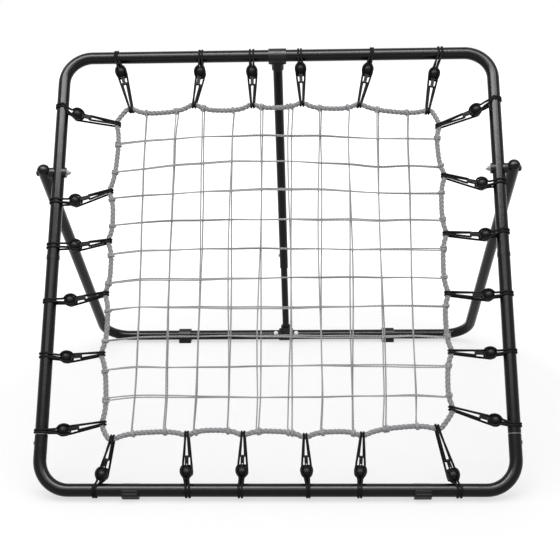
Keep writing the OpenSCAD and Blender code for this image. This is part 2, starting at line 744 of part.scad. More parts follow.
module bungee(side, row) {
    ball = side[1] * row[1] + side[2] * row[2];
    tip = side[1] * row[3] + side[2] * row[4];
    wide = cross(front_way, unit(tip - ball));
    right = bungee_half(side, row, 1);
    left = bungee_half(side, row, -1);
    count = len(right);
    rings = concat([for (i = [0:count - 1]) bungee_ring(right, i, 1, wide)],
                   [for (i = [count - 2:-1:0]) bungee_ring(left, i, -1, wide)]);
    last = len(rings) - 1;
    color(plastic_black) on_front_frame() polyhedron(
        points = [for (ring = rings, p = ring) p],
        faces = concat(
            [for (i = [0:last - 1], k = [0:cord_sides - 1])
                let (l = (k + 1) % cord_sides,
                     a = i * cord_sides + k, b = i * cord_sides + l,
                     c = (i + 1) * cord_sides + l, d = (i + 1) * cord_sides + k)
                for (face = [[a, b, c], [a, c, d]]) face],
            [for (k = [1:cord_sides - 2]) [0, k + 1, k]],
            [for (k = [1:cord_sides - 2]) last * cord_sides * [1, 1, 1] + [0, k, k + 1]]));
}

// A toggle up the Z axis: ball, flat stem with a hole, crossbar
module toggle() {
    sphere(d = ball_d);
    difference() {
        translate([-stem_width / 2, -stem_depth / 2, 0])
            cube([stem_width, stem_depth, stem_length - crossbar_d / 2]);
        translate([0, stem_depth, stem_hole_place]) rotate([90, 0, 0])
            cylinder(d = stem_hole_d, h = 2 * stem_depth);
    }
    translate([0, 0, stem_length - crossbar_d / 2])
        along_x(crossbar_d / 2, -crossbar_length / 2, crossbar_length / 2);
}

module toggles(side, rows) {
    color(plastic_black) on_front_frame() for (row = rows) {
        run = side[1] * (row[3] - row[1]) + side[2] * (row[4] - row[2]);
        translate(side[0] + side[1] * row[1] + side[2] * row[2])
            rotate([0, atan2(run[0], run[2]), 0]) toggle();
    }
}

// ---- nodes ----

front_top_bow();
front_side_tube(-1);  // front_side_tube_left
front_side_tube(1);  // front_side_tube_right
front_bottom_bow();
joint_sleeves();
sleeve_rivets();
pivot_bolts();
lock_nuts();
inner_saddles();
frame_saddles();
front_foot(-1);  // front_foot_left
front_foot(1);  // front_foot_right
net_border_rope();
net_layer(-1);  // net_front_layer
net_layer(1);  // net_rear_layer
toggles(top_side, bungees_top);  // toggles_top
toggles(right_side, bungees_right);  // toggles_right
toggles(bottom_side, bungees_bottom);  // toggles_bottom
toggles(left_side, bungees_left);  // toggles_left
rear_bow();
leg_cap(-1);  // leg_cap_left
leg_cap(1);  // leg_cap_right
leg_saddles();
outer_saddles();
rear_foot(-1);  // rear_foot_left
rear_foot(1);  // rear_foot_right
tee_stop_screws();
upper_tee();
strut_outer_tube();
button_spring();
strut_inner_tube();
lower_tee();
lock_button();
for (k = [1:6]) {
    bungee(top_side, bungees_top[k - 1]);
    bungee(right_side, bungees_right[k - 1]);
    bungee(bottom_side, bungees_bottom[k - 1]);
    bungee(left_side, bungees_left[k - 1]);
}
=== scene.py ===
"""Pitch back rebounder: its finishes, cords, rope, net and toggles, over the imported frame."""

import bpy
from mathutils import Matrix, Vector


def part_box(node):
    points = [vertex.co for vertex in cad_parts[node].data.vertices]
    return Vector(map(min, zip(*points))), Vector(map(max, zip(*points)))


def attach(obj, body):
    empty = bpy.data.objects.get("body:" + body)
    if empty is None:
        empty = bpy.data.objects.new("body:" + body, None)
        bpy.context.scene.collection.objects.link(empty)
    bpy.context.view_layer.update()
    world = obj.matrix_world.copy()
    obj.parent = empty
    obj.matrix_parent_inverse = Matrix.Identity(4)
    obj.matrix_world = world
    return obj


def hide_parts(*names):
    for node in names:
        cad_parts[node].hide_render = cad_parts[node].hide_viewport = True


bl_info = {
    "name": "Pitch Back Rebounder",
    "version": (1, 0, 0),
    "blender": (4, 5, 0),
    "location": "3D View > Sidebar > Rebounder",
    "description": "Dresses the rebounder's frame with paint, cords, rope, net and toggles",
    "category": "Object",
}

import math

import bpy
import numpy as np
from bpy.props import FloatProperty, FloatVectorProperty, IntProperty, PointerProperty
from mathutils import Euler, Matrix, Vector

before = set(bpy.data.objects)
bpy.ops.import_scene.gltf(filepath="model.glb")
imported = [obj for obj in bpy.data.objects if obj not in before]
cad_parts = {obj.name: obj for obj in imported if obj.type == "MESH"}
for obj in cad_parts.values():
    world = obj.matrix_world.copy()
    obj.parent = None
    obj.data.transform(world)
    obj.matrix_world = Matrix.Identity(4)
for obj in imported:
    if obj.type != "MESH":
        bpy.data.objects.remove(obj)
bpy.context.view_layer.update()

# The leaning frame, in metres. Points on it are (across, out to the back, up the frame).
FRAME_SIZE = 1.013
HALF = FRAME_SIZE / 2
TUBE_R = 0.014
LEAN = math.radians(33)
BOTTOM_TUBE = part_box("front_bottom_bow")[0] + Vector((0, TUBE_R, TUBE_R))
FRONT_WAY = np.array((0.0, -1.0, 0.0))

# Columns of a row of BUNGEES that the rope's course reads
TIP_AT, TIP_IN = 3, 4

# The rope's course, in millimetres: half the width of a bungee's hold on it, and how far it
# runs on past a side's last hold. Then where it is measured between two holds, as shares.
HOLD_HALF = 6
CORNER_RUN = 9
ROPE_PLACES = (0, 0.08, 0.16, 0.26, 0.36, 0.5, 0.64, 0.74, 0.84, 0.92, 1)
STRANDS = 3
STRAND_SHARE = 0.48

# The net on the leaning frame: its middle, how far its crossings stray, the gap between
# twines that cross, and the run in which the left ends droop, in metres
NET_MIDDLE = (-0.003, 0.497)
NET_WAVE = 0.0015
TWINE_GAP = 0.0001
DROOP_RUN = 0.065
# Share of the drift that level lines get, and how many lines the rise takes to its full height
LEVEL_DRIFT = 0.7
RISE_LINES = 3

# A twine's tie: how far the rope may be from the last crossing, its turns round the rope, the
# turn at the line's own place, its pitch in twine radii, and how deep its end is tucked in
TIE_REACH = 0.15
TIE_TURNS = np.linspace(0.1, 1.55, 15)
TIE_MIDDLE = 0.8
TIE_PITCH = 2.1
TIE_TUCK = 0.7

# Distances between the points of the swept pieces' courses, in metres
ROPE_STEP = 0.0022
TWINE_STEP = 0.004
CORD_STEP = 0.0024

# Gaps that a cord keeps to its other strand, its tube and its ball, in metres
STRAND_CLEAR = 0.0001
TUBE_CLEAR = 0.0002
BALL_CLEAR = 0.0003
# Where the cord leaves the crossbar: start, end and distance to the side
BAR_LEAVE = (0.0335, 0.0365)
BAR_ASIDE = 0.005
# Degrees round the rope and the tube that it is laid through, and the degrees of turn in which
# it creeps along the rope by its own radius
ROPE_TURN = range(75, -91, -15)
TUBE_TURN = range(-95, -296, -15)
CREEP_TURN = 400
# The cord's directions from the ball's middle: out to the net, to the side, to the front. It
# passes behind the ball at SIDE_PASS and SIDE_PASS less SIDE_DRAW, then comes back over it.
SIDE_PASS = {"top": 9.8, "right": 7.8, "bottom": 9.8, "left": 7.8}
SIDE_DRAW = 2.5
BEHIND_BALL = (-11.5, 2.4, -10.4)
OVER_BALL = (
    (-10.5, 4.6, 10.2), (-5, 9, 11.6), (0, 11.2, 11), (5, 11.6, 9.4),
    (9, 10.8, 7.2), (13.2, 8.2, 1), (14.6, 6, -5), (15.6, 0, -6),
)
# How far out along the toggle the cord is still pushed clear of the ball
BALL_REACH = 0.02

# How a cord flattens on its tube: share of its thickness left, how far from the tube that
# holds, and over what distance it eases off, in metres
WRAP_FLAT = 0.6
WRAP_REACH = 0.005
WRAP_EASE = 0.01
# A quarter of the most that a strand slips aside on the tube, and how deep it bites the rope
WRAP_GAP = 0.0004
ROPE_BITE = 0.0022

# A toggle, in metres from its ball's middle: the stem's width, depth and end, the height and
# radius of its cord hole, and the crossbar's height, half length and radius
STEM_WIDTH = 0.0074
STEM_DEPTH = 0.005
STEM_END = 0.0335
HOLE_AT = 0.0168
HOLE_R = 0.002
BAR_AT = 0.0337
BAR_HALF = 0.0075
BAR_R = 0.0023

# Each bungee, in millimetres: place of its wrap along the tube, place of its ball along the
# tube, ball's distance in from the tube, place of the rope's tip along the tube, tip's distance in
BUNGEES = {
    "top": (
        (-384, -372, 37, -344, 135), (-182, -183, 39, -196, 125), (-61, -60, 41, -58, 127),
        (53, 55, 36, 58, 124), (224, 214, 40, 192, 129), (385, 369, 53, 350, 148),
    ),
    "right": (
        (136, 145, 38, 172, 130), (295, 291, 40, 295, 126), (424, 421, 38, 426, 128),
        (568, 561, 37, 565, 126), (686, 683, 39, 704, 124), (891, 866, 43, 827, 132),
    ),
    "bottom": (
        (-384, -371, 32, -352, 109), (-186, -190, 37, -192, 117), (-75, -72, 38, -71, 117),
        (68, 65, 37, 62, 112), (176, 178, 36, 184, 115), (384, 373, 30, 343, 130),
    ),
    "left": (
        (124, 126, 46, 142, 132), (290, 286, 43, 294, 122), (413, 415, 44, 431, 124),
        (542, 543, 47, 554, 125), (649, 651, 42, 674, 122), (886, 867, 35, 841, 132),
    ),
}

# Each side of the frame: where its axis starts, the way along it, the way in to the net,
# and how far the rope draws in between its tips, in millimetres
SIDES = {
    "top": ((0, 0, FRAME_SIZE), (1, 0, 0), (0, 0, -1), (14, 14, 9, 12, 10)),
    "right": ((HALF, 0, 0), (0, 0, 1), (-1, 0, 0), (8, 8, 8, 8, 8)),
    "bottom": ((0, 0, 0), (1, 0, 0), (0, 0, 1), (9, 9, 9, 9, 9)),
    "left": ((-HALF, 0, 0), (0, 0, 1), (1, 0, 0), (8, 8, 8, 8, 8)),
}

# The floor's half width, in metres, and its cells each way. Its glow goes from the first
# strength to the second between two distances from the middle.
FLOOR_HALF = 9.0
FLOOR_CELLS = 24
GLOW_AT = (0.75, 1.4)
GLOW = (0.6, 1.0)

# Each lamp: its name, place, width and depth in metres, and its share of the set power
LAMPS = (
    ("softbox", (-0.3, -0.5, 3.0), 2.5, 2.5, 1.0),
    ("sheen_left", (-0.52, -0.95, 2.75), 2.8, 1.2, 1.0),
    ("sheen_right", (1.6, -0.95, 2.75), 1.2, 1.2, 0.25),
    ("sheen_front", (-0.2, -2.5, 2.65), 3.4, 1.2, 0.28),
)

# The camera: its place in metres, its lens in millimetres, and its turns in radians
CAMERA_PLACE = (0.0796, -2.3006, 1.0694)
CAMERA_LENS = 63.22
CAMERA_DOWN = 0.3079
CAMERA_LEFT = 0.0345
CAMERA_ROLL = -0.0172

PAINTED = (
    "front_top_bow", "front_side_tube_left", "front_side_tube_right", "front_bottom_bow",
    "rear_bow", "strut_outer_tube", "strut_inner_tube", "leg_cap_left", "leg_cap_right",
)
BLACK_PARTS = (
    "inner_saddles", "frame_saddles", "leg_saddles", "outer_saddles", "front_foot_left",
    "front_foot_right", "rear_foot_left", "rear_foot_right", "upper_tee", "lower_tee",
)
BRIGHT_PARTS = (
    "pivot_bolts", "lock_nuts", "sleeve_rivets", "joint_sleeves", "tee_stop_screws", "lock_button",
)


# ---- sizes and colours ----


class REB_PG_finish(bpy.types.PropertyGroup):
    """Colours of the tubes, plastic and steel"""

    paint: FloatVectorProperty(
        name="Paint", description="Colour of the coated tubes", subtype="COLOR",
        size=3, min=0, max=1, default=(0.0062, 0.0057, 0.006),
    )
    plastic: FloatVectorProperty(
        name="Plastic", description="Colour of the feet, tees and saddles", subtype="COLOR",
        size=3, min=0, max=1, default=(0.0065, 0.0061, 0.0065),
    )
    steel: FloatVectorProperty(
        name="Steel", description="Colour of the bolts, nuts and screws", subtype="COLOR",
        size=3, min=0, max=1, default=(0.42, 0.425, 0.435),
    )


class REB_PG_rope(bpy.types.PropertyGroup):
    """The net's border rope"""

    diameter: FloatProperty(
        name="Diameter", description="Diameter of the border rope", subtype="DISTANCE",
        unit="LENGTH", min=0.008, max=0.012, default=0.012,
    )
    lay: FloatProperty(
        name="Lay", description="Length of one turn of the rope's strands", subtype="DISTANCE",
        unit="LENGTH", min=0.02, max=0.06, default=0.03,
    )
    colour: FloatVectorProperty(
        name="Colour", description="Colour of the border rope", subtype="COLOR",
        size=3, min=0, max=1, default=(0.41, 0.41, 0.425),
    )


class REB_PG_net(bpy.types.PropertyGroup):
    """The two layers of net twine"""

    diameter: FloatProperty(
        name="Twine diameter", description="Diameter of each net twine", subtype="DISTANCE",
        unit="LENGTH", min=0.002, max=0.0032, default=0.0031,
    )
    pitch: FloatProperty(
        name="Mesh up", description="Distance between the level net lines",
        subtype="DISTANCE", unit="LENGTH", min=0.062, max=0.067, default=0.0664,
    )
    pitch_across: FloatProperty(
        name="Mesh across", description="Distance between the upright net lines",
        subtype="DISTANCE", unit="LENGTH", min=0.062, max=0.069, default=0.0676,
    )
    rise: FloatProperty(
        name="Rise", description="How far the upper net lines bow up in the middle",
        subtype="DISTANCE", unit="LENGTH", min=0, max=0.018, default=0.014,
    )
    droop: FloatProperty(
        name="Droop", description="How far the left ends of the level net lines drop",
        subtype="DISTANCE", unit="LENGTH", min=0, max=0.012, default=0.008,
    )
    lines: IntProperty(
        name="Lines", description="Net lines each way", min=8, max=10, default=10,
    )
    drift: FloatProperty(
        name="Drift", description="Greatest distance that doubled twines drift apart",
        subtype="DISTANCE", unit="LENGTH", min=0, max=0.01, default=0.008,
    )
    colour: FloatVectorProperty(
        name="Colour", description="Colour of the net twine", subtype="COLOR",
        size=3, min=0, max=1, default=(0.47, 0.47, 0.485),
    )


class REB_PG_bungee(bpy.types.PropertyGroup):
    """The elastic cords and their toggles"""

    diameter: FloatProperty(
        name="Cord diameter", description="Diameter of the bungee cords", subtype="DISTANCE",
        unit="LENGTH", min=0.0036, max=0.0048, default=0.0048,
    )
    ball: FloatProperty(
        name="Ball", description="Diameter of the toggle balls", subtype="DISTANCE",
        unit="LENGTH", min=0.024, max=0.026, default=0.026,
    )
    cord: FloatVectorProperty(
        name="Cord colour", description="Colour of the cords' sleeves", subtype="COLOR",
        size=3, min=0, max=1, default=(0.006, 0.0056, 0.006),
    )
    toggle: FloatVectorProperty(
        name="Toggle colour", description="Colour of the toggles", subtype="COLOR",
        size=3, min=0, max=1, default=(0.006, 0.0056, 0.006),
    )


class REB_PG_stage(bpy.types.PropertyGroup):
    """Floor, light and camera"""

    floor: FloatVectorProperty(
        name="Floor", description="Colour of the floor", subtype="COLOR",
        size=3, min=0, max=1, default=(0.42, 0.42, 0.423),
    )
    fill: FloatProperty(
        name="Fill", description="Strength of the even light from all round",
        min=0, max=1, default=0.7,
    )
    softbox: FloatProperty(
        name="Softbox", description="Power of the softbox overhead", subtype="POWER",
        unit="POWER", min=0, max=400, default=34,
    )
    sheen: FloatProperty(
        name="Sheen", description="Power of the panels that show only in gloss",
        subtype="POWER", unit="POWER", min=0, max=900, default=260,
    )


def settings(group):
    """One of the scene's groups of sizes and colours"""
    return getattr(bpy.context.scene, "reb_" + group)


# ---- paths ----


def to_world(points):
    """Points on the leaning frame, in metres, as points of the frame all the pieces share"""
    p = np.asarray(points, float)
    c, s = math.cos(LEAN), math.sin(LEAN)
    out = np.empty_like(p)
    out[:, 0] = p[:, 0]
    out[:, 1] = BOTTOM_TUBE.y + p[:, 1] * c + p[:, 2] * s
    out[:, 2] = BOTTOM_TUBE.z - p[:, 1] * s + p[:, 2] * c
    return out


def unit(v):
    """A vector of length 1 in the way of v"""
    v = np.asarray(v, float)
    return v / np.linalg.norm(v)


def smooth_path(points, step, closed=False):
    """A Catmull-Rom curve through the points, at even steps along its length"""
    p = np.asarray(points, float)
    if closed:
        p = np.vstack((p[-1:], p, p[:2]))
    else:
        p = np.vstack((2 * p[0] - p[1], p, 2 * p[-1] - p[-2]))
    curve = []
    for a, b, c, d in zip(p[:-3], p[1:-2], p[2:-1], p[3:]):
        count = max(2, int(np.linalg.norm(c - b) / step * 2))
        t = np.linspace(0, 1, count, endpoint=False)[:, None]
        curve.append(
            0.5 * (2 * b + (c - a) * t + (2 * a - 5 * b + 4 * c - d) * t**2
                   + (3 * b - a - 3 * c + d) * t**3)
        )
    dense = np.vstack(curve + [p[-2:-1]])
    run = np.concatenate(([0], np.cumsum(np.linalg.norm(np.diff(dense, axis=0), axis=1))))
    count = max(2, round(run[-1] / step))
    at = np.linspace(0, run[-1], count + 1)
    even = np.stack([np.interp(at, run, dense[:, k]) for k in range(3)], axis=1)
    return even[:-1] if closed else even


def frames_along(path, closed=False):
    """The way along a path at each point, and two square directions that don't twist"""
    if closed:
        way = np.roll(path, -1, axis=0) - np.roll(path, 1, axis=0)
    else:
        way = np.gradient(path, axis=0)
    way /= np.linalg.norm(way, axis=1)[:, None]
    side = np.empty_like(way)
    side[0] = unit(np.cross(way[0], (0.3, 0.2, 1)))
    for i in range(1, len(way)):
        side[i] = unit(side[i - 1] - (side[i - 1] @ way[i]) * way[i])
    if closed:
        end = side[-1] - (side[-1] @ way[0]) * way[0]
        slip = math.atan2(np.cross(end, side[0]) @ way[0], end @ side[0])
        turn = (slip * np.arange(len(way)) / len(way))[:, None]
        side = side * np.cos(turn) + np.cross(way, side) * np.sin(turn)
    return way, side, np.cross(way, side)


class Shell:
    """Vertices, faces and UVs of a piece, gathered part by part"""

    def __init__(self):
        self.points = []
        self.faces = []
        self.uvs = []
        self.count = 0

    def add(self, points, faces, uvs):
        """Join on a part, whose faces count from its own first point"""
        self.faces += [[self.count + i for i in face] for face in faces]
        self.uvs += uvs
        self.points.append(np.asarray(points, float))
        self.count += len(points)

    def sweep(self, path, radius, sides, closed=False):
        """A round tube along a path. U runs along in metres, V once round."""
        path = np.asarray(path, float)
        way, side, up = frames_along(path, closed)
        count = len(path)
        radius = np.broadcast_to(np.asarray(radius, float), (count,))
        angle = 2 * math.pi * np.arange(sides) / sides
        ring = (side[:, None, :] * np.cos(angle)[None, :, None]
                + up[:, None, :] * np.sin(angle)[None, :, None])
        points = (path[:, None, :] + ring * radius[:, None, None]).reshape(-1, 3)
        run = np.concatenate(([0], np.cumsum(np.linalg.norm(np.diff(path, axis=0), axis=1))))
        run = np.append(run, run[-1] + np.linalg.norm(path[0] - path[-1]))
        faces, uvs = [], []
        for i in range(count if closed else count - 1):
            a, b = i * sides, (i + 1) % count * sides
            for k in range(sides):
                m = (k + 1) % sides
                faces.append((a + k, a + m, b + m, b + k))
                low, high = k / sides, (k + 1) / sides
                uvs += [(run[i], low), (run[i], high), (run[i + 1], high), (run[i + 1], low)]
        if not closed:
            faces.append(tuple(range(sides - 1, -1, -1)))
            faces.append(tuple(range((count - 1) * sides, count * sides)))
            uvs += [(0.0, 0.0)] * sides + [(run[count - 1], 0.0)] * sides
        self.add(points, faces, uvs)

    def place(self, other, matrix):
        """Another shell's parts, moved by a 4x4 matrix"""
        points = np.vstack(other.points)
        moved = points @ matrix[:3, :3].T + matrix[:3, 3]
        self.add(moved, other.faces, other.uvs)

    def make(self, name, material, body="root"):
        """The gathered parts as one smooth piece that rides on a body"""
        mesh = bpy.data.meshes.new(name)
        mesh.from_pydata(np.vstack(self.points).tolist(), [], self.faces)
        layer = mesh.uv_layers.new(name="Length")
        layer.data.foreach_set("uv", np.asarray(self.uvs, np.float32).ravel())
        mesh.shade_smooth()
        mesh.materials.append(material)
        piece = bpy.data.objects.new(name, mesh)
        bpy.context.scene.collection.objects.link(piece)
        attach(piece, body)
        return piece


# ---- finishes ----


class Finish:
    """A material in the making: its shader, and helpers that add nodes to it"""

    def __init__(self, name, roughness, metallic=0.0, specular=0.5):
        self.material = bpy.data.materials.new(name)
        self.material.use_nodes = True
        self.tree = self.material.node_tree
        self.shader = self.tree.nodes["Principled BSDF"]
        self.set("Roughness", roughness)
        self.set("Metallic", metallic)
        self.set("Specular IOR Level", specular)
        self.place = self.add("ShaderNodeTexCoord").outputs["Object"]

    def add(self, kind, **inputs):
        """A node, with its sockets set or linked by name"""
        node = self.tree.nodes.new(kind)
        for key, value in inputs.items():
            self.put(node.inputs[key.replace("_", " ")], value)
        return node

    def put(self, socket, value):
        """Link a socket to an output, or set it to a value"""
        if isinstance(value, bpy.types.NodeSocket):
            self.tree.links.new(value, socket)
        else:
            socket.default_value = value

    def noise(self, scale, detail=3.0, roughness=0.5, stretch=None):
        """Noise in the piece's own space, scaled by axis if stretch is given"""
        place = self.place
        if stretch:
            mapping = self.add("ShaderNodeMapping", Vector=place, Scale=stretch)
            place = mapping.outputs["Vector"]
        node = self.add("ShaderNodeTexNoise", Vector=place, Scale=scale, Detail=detail,
                        Roughness=roughness)
        return node.outputs["Fac"]

    def math(self, operation, a, b=0.0):
        """One operation on two values or outputs"""
        node = self.tree.nodes.new("ShaderNodeMath")
        node.operation = operation
        self.put(node.inputs[0], a)
        self.put(node.inputs[1], b)
        return node.outputs[0]

    def spread(self, value, low, high, to_low, to_high):
        """A value carried from one range to another, and held within it"""
        node = self.tree.nodes.new("ShaderNodeMapRange")
        for socket, number in zip(node.inputs, (value, low, high, to_low, to_high)):
            self.put(socket, number)
        return node.outputs[0]

    def blend(self, share, first, second):
        """A mix of two colours, with the share of the second"""
        node = self.tree.nodes.new("ShaderNodeMix")
        node.data_type = "RGBA"
        self.put(node.inputs[0], share)
        self.put(node.inputs[6], first)
        self.put(node.inputs[7], second)
        return node.outputs[2]

    def bump(self, height, depth, strength=1.0, under=None):
        """A normal that raises a pattern by its depth in metres, over another normal"""
        node = self.add("ShaderNodeBump", Height=height, Distance=depth, Strength=strength)
        if under is not None:
            self.put(node.inputs["Normal"], under)
        return node.outputs["Normal"]

    def along(self):
        """How far along a swept piece, in metres, and how far round, from 0 to 1"""
        uv = self.add("ShaderNodeUVMap")
        uv.uv_map = "Length"
        split = self.add("ShaderNodeSeparateXYZ", Vector=uv.outputs["UV"])
        return split.outputs["X"], split.outputs["Y"]

    def lay(self, length, turns):
        """Ridges that wind round a swept piece, from -1 to 1"""
        run, round_ = self.along()
        phase = self.math("ADD", self.math("DIVIDE", run, length),
                          self.math("MULTIPLY", round_, turns))
        return self.math("SINE", self.math("MULTIPLY", phase, 2 * math.pi))

    def set(self, socket, value):
        """Link or set one of the shader's own sockets"""
        self.put(self.shader.inputs[socket], value)


def shade(colour, factor):
    """A colour made lighter or darker, with its alpha"""
    return (*(min(1.0, c * factor) for c in colour), 1.0)


def coated_paint():
    """Satin powder coat: fine orange peel, faint dust and a few rubbed places"""
    colour = settings("finish").paint
    made = Finish("coated_paint", 0.2, specular=0.14)
    dust = made.spread(made.noise(6.0, 5.0, 0.6), 0.35, 0.75, 0.0, 1.0)
    rubs = made.spread(made.noise(55.0, 6.0, 0.7, (1, 1, 0.25)), 0.62, 0.8, 0.0, 0.55)
    base = made.blend(dust, shade(colour, 0.88), shade(colour, 1.3))
    made.set("Base Color", made.blend(rubs, base, shade(colour, 2.1)))
    rough = made.math("ADD", made.spread(made.noise(38.0, 4.0), 0.3, 0.7, 0.17, 0.25),
                      made.math("MULTIPLY", rubs, 0.12))
    made.set("Roughness", rough)
    peel = made.bump(made.noise(620.0, 2.0), 0.00016, 0.6)
    made.set("Normal", made.bump(made.noise(46.0, 2.0), 0.0006, 0.35, peel))
    return made.material


def moulded_plastic(name, colour, gloss, shine, grain):
    """Moulded black plastic: flow marks, a fine grain and paler scuffs"""
    made = Finish(name, gloss, specular=shine)
    flow = made.spread(made.noise(30.0, 4.0, 0.55, (1, 1, 2.5)), 0.3, 0.7, 0.0, 1.0)
    scuffs = made.spread(made.noise(160.0, 6.0, 0.72), 0.63, 0.8, 0.0, 0.6)
    base = made.blend(flow, shade(colour, 0.85), shade(colour, 1.35))
    made.set("Base Color", made.blend(scuffs, base, shade(colour, 3.0)))
    rough = made.spread(made.noise(70.0, 4.0), 0.3, 0.7, gloss - 0.05, gloss + 0.07)
    made.set("Roughness", made.math("ADD", rough, made.math("MULTIPLY", scuffs, 0.15)))
    made.set("Normal", made.bump(made.noise(1500.0, 2.0), grain, 0.7))
    return made.material


def bright_steel(name, colour, stretch):
    """Zinc plated steel: cloudy plating, fine turning lines and dull spots"""
    made = Finish(name, 0.45, metallic=0.15, specular=0.12)
    cloud = made.spread(made.noise(190.0, 4.0, 0.6), 0.3, 0.7, 0.0, 1.0)
    spots = made.spread(made.noise(700.0, 4.0, 0.7), 0.6, 0.74, 0.0, 0.6)
    base = made.blend(cloud, shade(colour, 0.82), shade(colour, 1.12))
    made.set("Base Color", made.blend(spots, base, shade(colour, 0.5)))
    lines = made.noise(900.0, 2.0, 0.5, stretch)
    rough = made.spread(lines, 0.3, 0.7, 0.38, 0.52)
    made.set("Roughness", made.math("ADD", rough, made.math("MULTIPLY", spots, 0.2)))
    made.set("Normal", made.bump(lines, 0.00005, 0.5))
    return made.material


def laid_rope():
    """Fibres of the rope's strands: fine yarns that wind against the lay, with painted shade in
    their hollows, and soft fluff
    """
    colour = settings("rope").colour
    made = Finish("laid_rope", 0.86, specular=0.05)
    yarns = made.math("MULTIPLY", made.math("ADD", made.lay(0.011, 5.0), 1.0), 0.5)
    fluff = made.noise(900.0, 4.0, 0.7)
    soil = made.spread(made.noise(14.0, 4.0, 0.6), 0.35, 0.7, 0.0, 1.0)
    # Painted shade and highlight: the yarns' hollows darker and their crowns lighter, on the same
    # ridges that the bump raises
    base = made.blend(yarns, shade(colour, 0.72), shade(colour, 1.16))
    base = made.blend(made.math("MULTIPLY", soil, 0.3), base, shade(colour, 0.82))
    flecks = made.spread(fluff, 0.6, 0.72, 0.0, 0.7)
    made.set("Base Color", made.blend(flecks, base, shade(colour, 1.5)))
    made.set("Roughness", made.spread(fluff, 0.3, 0.7, 0.78, 0.95))
    made.set("Sheen Weight", 0.1)
    fibres = made.bump(fluff, 0.0003, 0.5)
    made.set("Normal", made.bump(yarns, 0.0007, 0.8, fibres))
    return made.material


def twisted_twine():
    """Two-ply net twine: a steep twist, with painted shade in its grooves, and loose fibres"""
    colour = settings("net").colour
    made = Finish("twisted_twine", 0.82, specular=0.05)
    plies = made.math("MULTIPLY", made.math("ADD", made.lay(0.0075, 2.0), 1.0), 0.5)
    fluff = made.noise(1300.0, 4.0, 0.7)
    tone = made.spread(made.noise(9.0, 3.0, 0.6), 0.35, 0.65, 0.0, 1.0)
    pale = made.blend(tone, shade(colour, 0.95), shade(colour, 1.3))
    # Painted shade: the grooves between the plies darker, on the same ridges that the bump raises
    base = made.blend(plies, shade(colour, 0.72), pale)
    made.set("Base Color", made.blend(made.spread(fluff, 0.6, 0.72, 0.0, 0.6), base,
                                      shade(colour, 1.55)))
    made.set("Roughness", made.spread(fluff, 0.3, 0.7, 0.74, 0.92))
    made.set("Sheen Weight", 0.1)
    made.set("Normal", made.bump(plies, 0.0007, 0.9, made.bump(fluff, 0.0002, 0.4)))
    return made.material


def braided_sleeve():
    """The cords' braided sleeve: two sets of yarns that cross, with painted shade in their hollows
    and a painted highlight on their crowns, which are also dusty
    """
    colour = settings("bungee").cord
    made = Finish("braided_sleeve", 0.62, specular=0.05)
    right, left = made.lay(0.0062, 4.0), made.lay(0.0062, -4.0)
    braid = made.math("MULTIPLY", made.math("ADD", made.math("MAXIMUM", right, left), 1.0), 0.5)
    fluff = made.noise(1200.0, 4.0, 0.7)
    # Painted shade and highlight: darker where the yarns sink, lighter on their crowns, on the
    # same ridges that the bump raises
    base = made.blend(braid, shade(colour, 0.55), shade(colour, 1.35))
    dust = made.spread(made.math("MULTIPLY", fluff, braid), 0.42, 0.62, 0.0, 0.6)
    made.set("Base Color", made.blend(dust, base, shade(colour, 4.0)))
    made.set("Roughness", made.spread(braid, 0.0, 1.0, 0.75, 0.52))
    made.set("Normal", made.bump(braid, 0.0005, 0.9, made.bump(fluff, 0.0001, 0.4)))
    return made.material


def finish_nodes(names, material):
    """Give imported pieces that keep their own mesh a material"""
    for name in names:
        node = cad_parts[name]
        node.data.materials.clear()
        node.data.materials.append(material)


# ---- the border rope's course ----


def rope_in(rows, k, a, depths):
    """The rope's distance in from the tube at a place between tips k and k + 1"""
    low, high = rows[k], rows[k + 1]
    u = (a - low[TIP_AT]) / (high[TIP_AT] - low[TIP_AT])
    v = (a - low[TIP_AT] - HOLD_HALF) / (high[TIP_AT] - low[TIP_AT] - 2 * HOLD_HALF)
    v = min(1.0, max(0.0, v))
    between = low[TIP_IN] + (high[TIP_IN] - low[TIP_IN]) * u
    return between + depths[k] * (1 - abs(2 * v - 1) ** 3)


def rope_side(side):
    """The rope's course along one side, in metres on the leaning frame"""
    start, along, inward, depths = SIDES[side]
    rows = BUNGEES[side]
    places = [(rows[0][TIP_AT] - CORNER_RUN, rows[0][TIP_IN])]
    for k in range(len(rows) - 1):
        low, high = rows[k][TIP_AT] + HOLD_HALF, rows[k + 1][TIP_AT] - HOLD_HALF
        for u in ROPE_PLACES:
            a = low + (high - low) * u
            places.append((a, rope_in(rows, k, a, depths)))
    places.append((rows[-1][TIP_AT] + CORNER_RUN, rows[-1][TIP_IN]))
    start, along, inward = (np.array(v, float) for v in (start, along, inward))
    return [start + (along * a + inward * b) / 1000 for a, b in places]


def rope_course():
    """The rope's centre line, once round the net"""
    up_right = rope_side("bottom") + rope_side("right")
    down_left = rope_side("top")[::-1] + rope_side("left")[::-1]
    return smooth_path(up_right + down_left, ROPE_STEP, closed=True)


class REB_OT_tubes(bpy.types.Operator):
    """Finish the coated tubes, the plastic parts and the steel parts"""

    bl_idname = "reb.tubes"
    bl_label = "Tubes and fittings"

    def execute(self, context):
        finish = settings("finish")
        finish_nodes(PAINTED, coated_paint())
        finish_nodes(BLACK_PARTS, moulded_plastic("moulded_plastic", finish.plastic, 0.34, 0.2,
                                                0.00006))
        finish_nodes(BRIGHT_PARTS, bright_steel("bright_steel", finish.steel, (0.1, 1, 1)))
        finish_nodes(("button_spring",),
                     bright_steel("spring_steel", [c * 0.6 for c in finish.steel], (1, 1, 0.1)))
        return {"FINISHED"}


